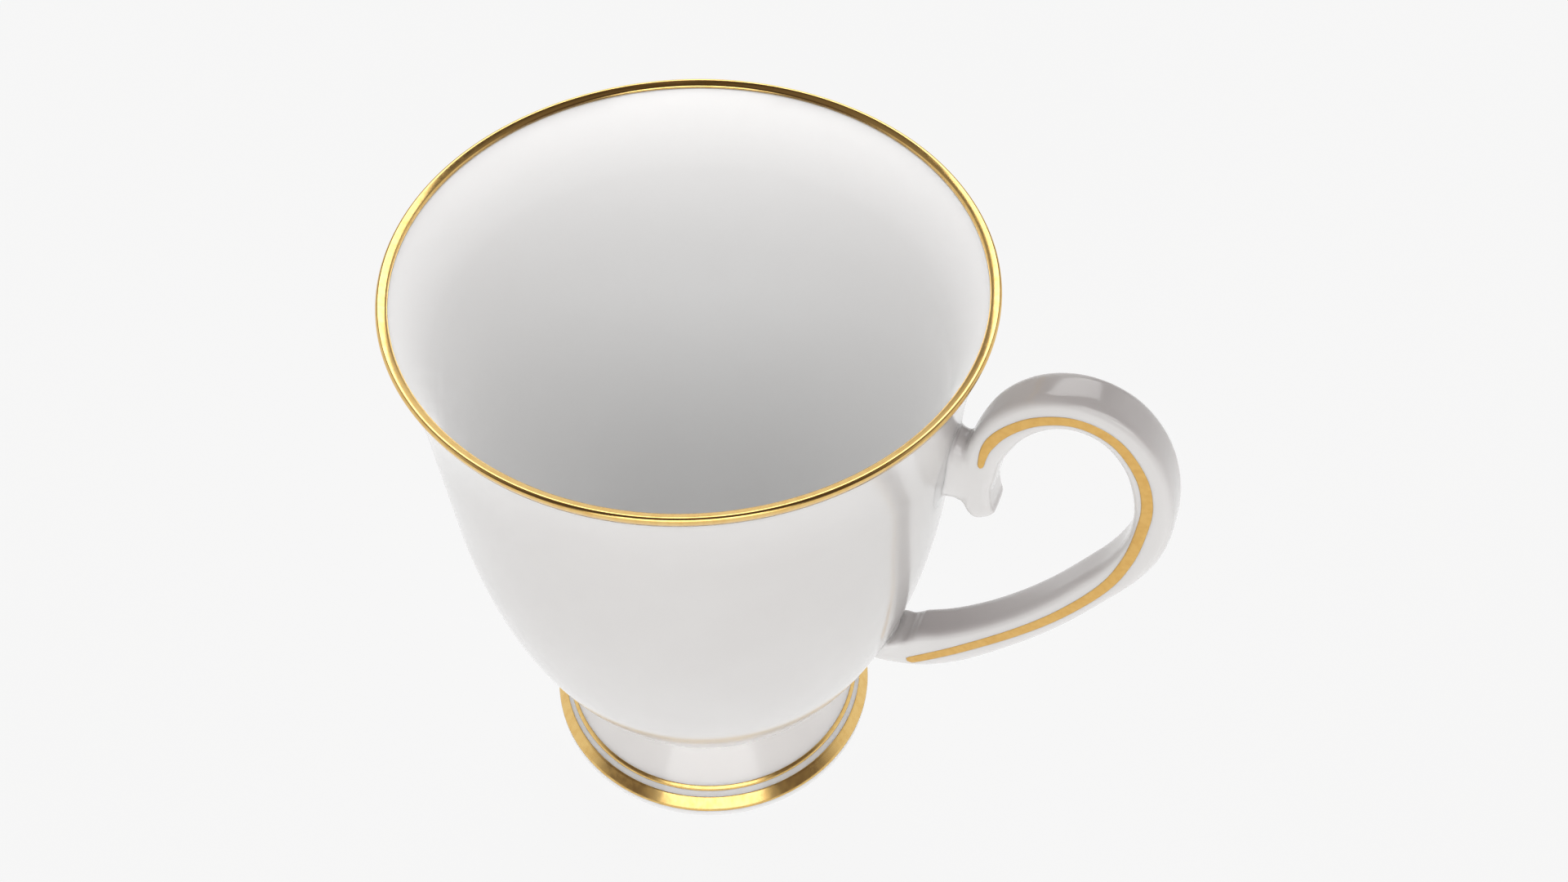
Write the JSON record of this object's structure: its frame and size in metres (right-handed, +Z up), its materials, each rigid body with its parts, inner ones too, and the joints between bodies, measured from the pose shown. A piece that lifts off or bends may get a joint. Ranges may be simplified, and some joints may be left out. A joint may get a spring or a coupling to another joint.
{
  "type": "footed teacup",
  "caption": "Tall footed teacup with a flared lip, a C-scroll handle with a thumb spur, and gilded bands on lip, foot and handle.",
  "frame": {"origin": "on the cup's axis, in the plane that the foot rests on", "axes": "+Z up along the cup's axis, +X from the axis through the middle of the handle"},
  "size_m": [0.1123, 0.0838, 0.102],
  "materials": {
    "porcelain": "clear glossy glaze over white china",
    "fired_slip": "smoothed luting slip under the same glaze",
    "burnished_gold": "burnished gold band fired onto the glaze",
    "matt_gold": "hand-painted gold line with a satin surface"
  },
  "bodies": {
    "root": {"bowl": "porcelain", "foot": "porcelain", "handle": "porcelain", "foot_joint": "fired_slip", "upper_handle_joint": "fired_slip", "lower_handle_joint": "fired_slip", "rim_gilding": "burnished_gold", "wide_foot_gilding": "burnished_gold", "narrow_foot_gilding": "burnished_gold", "front_handle_gilding": "matt_gold", "back_handle_gilding": "matt_gold"}
  },
  "joints": []
}
